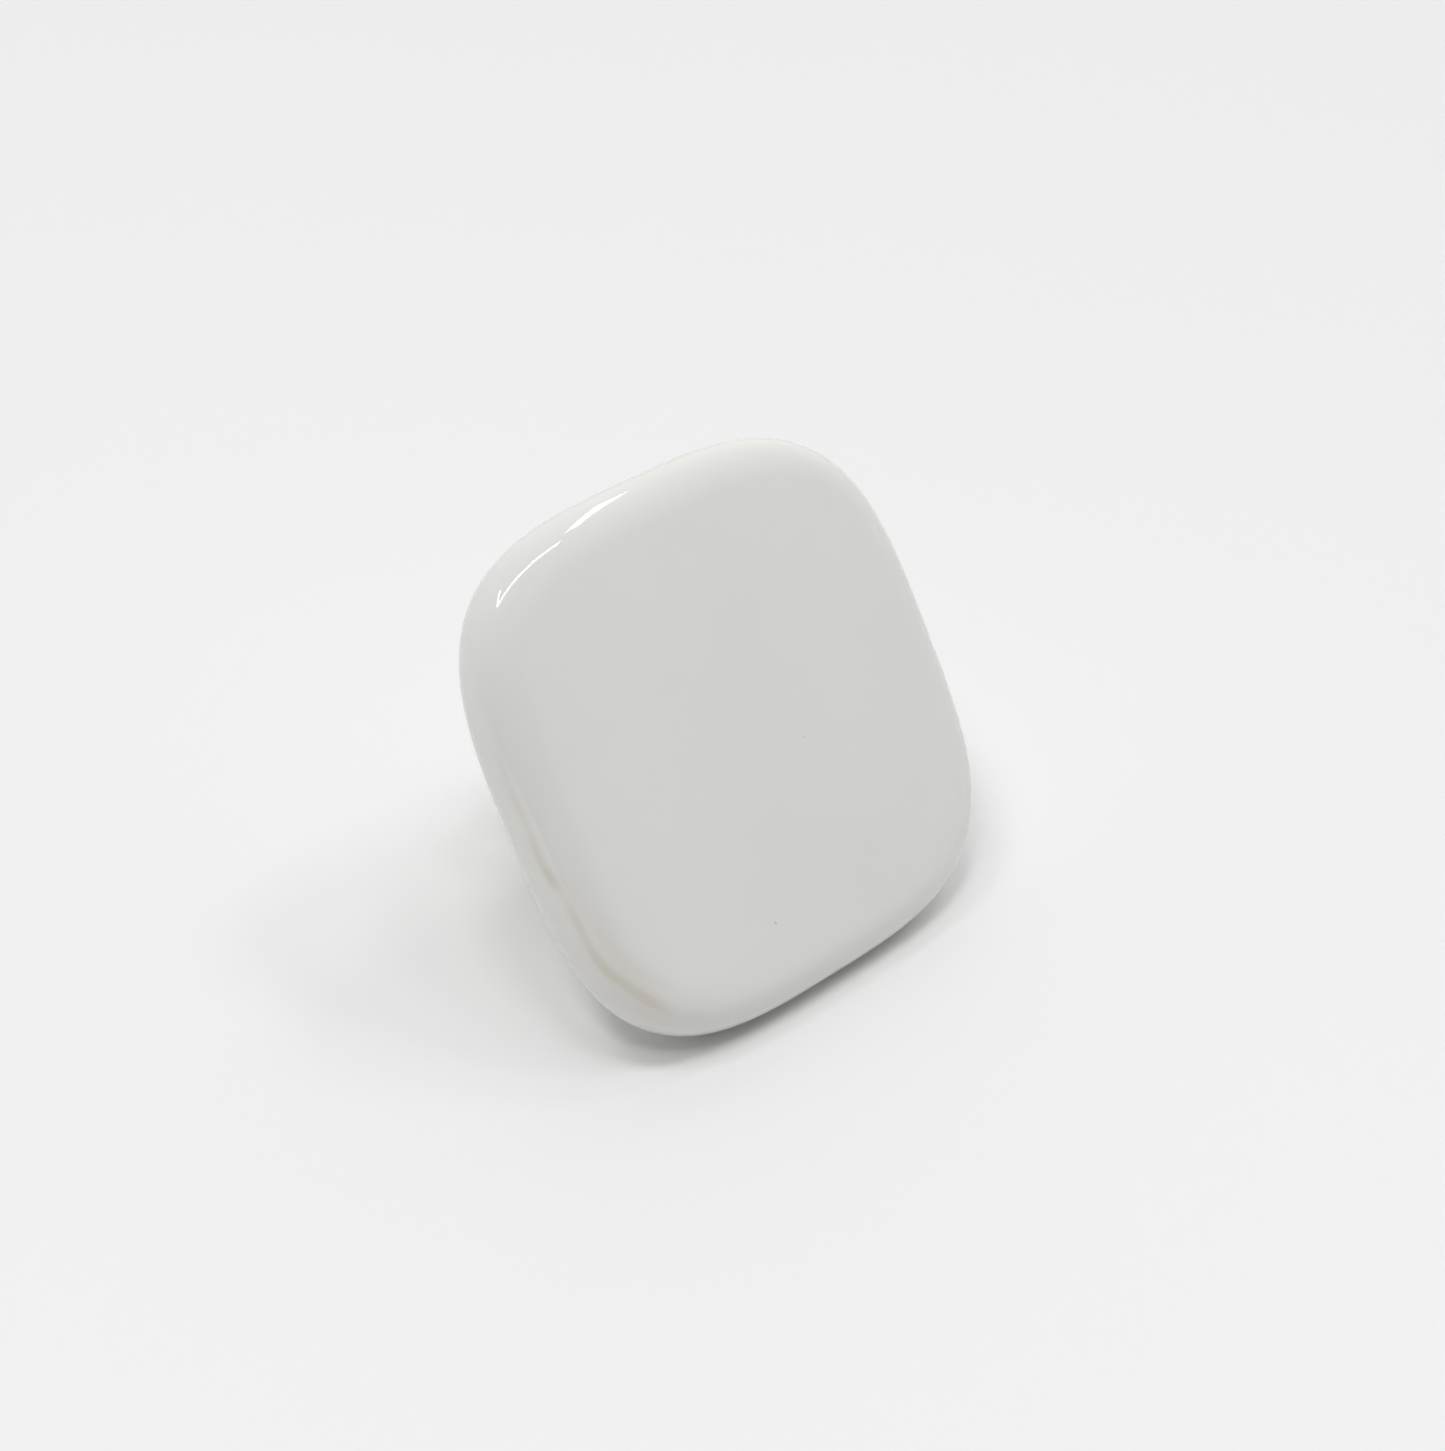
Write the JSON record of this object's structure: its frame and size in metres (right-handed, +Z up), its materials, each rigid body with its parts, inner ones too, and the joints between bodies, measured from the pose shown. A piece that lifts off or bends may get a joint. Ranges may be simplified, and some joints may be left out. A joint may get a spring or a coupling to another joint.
{
  "type": "cabinet knob",
  "caption": "Cabinet and drawer knob with a white glazed porcelain rounded-square head on a turned metal stem, fastened through the foot by a metric screw.",
  "frame": {"origin": "on the surface the knob lies on, in the middle of its bounding box, in the pose in which it comes to rest on the rims of its head and its foot", "axes": "+Z up from the surface; +X along the lower edge of the head, to the right as one looks at its face; the face looks towards -Y and leans back from upright, and the stem and foot point towards +Y and down; X = 0 is the plane of symmetry"},
  "size_m": [0.04, 0.034, 0.0348],
  "materials": {
    "glaze": "glossy clear glaze over white porcelain",
    "cement": "matte setting cement",
    "brass": "as turned",
    "zinc_steel": "zinc plated",
    "nylon": "natural nylon",
    "nickel": "satin nickel plate on turned brass",
    "rubber": "matte black rubber"
  },
  "bodies": {
    "root": {"porcelain_head": "glaze", "setting_cement": "cement", "head_insert": "brass", "coupling_stud": "zinc_steel", "cushion_washer": "nylon", "stem": "nickel", "grip_ring": "rubber"}
  },
  "joints": []
}
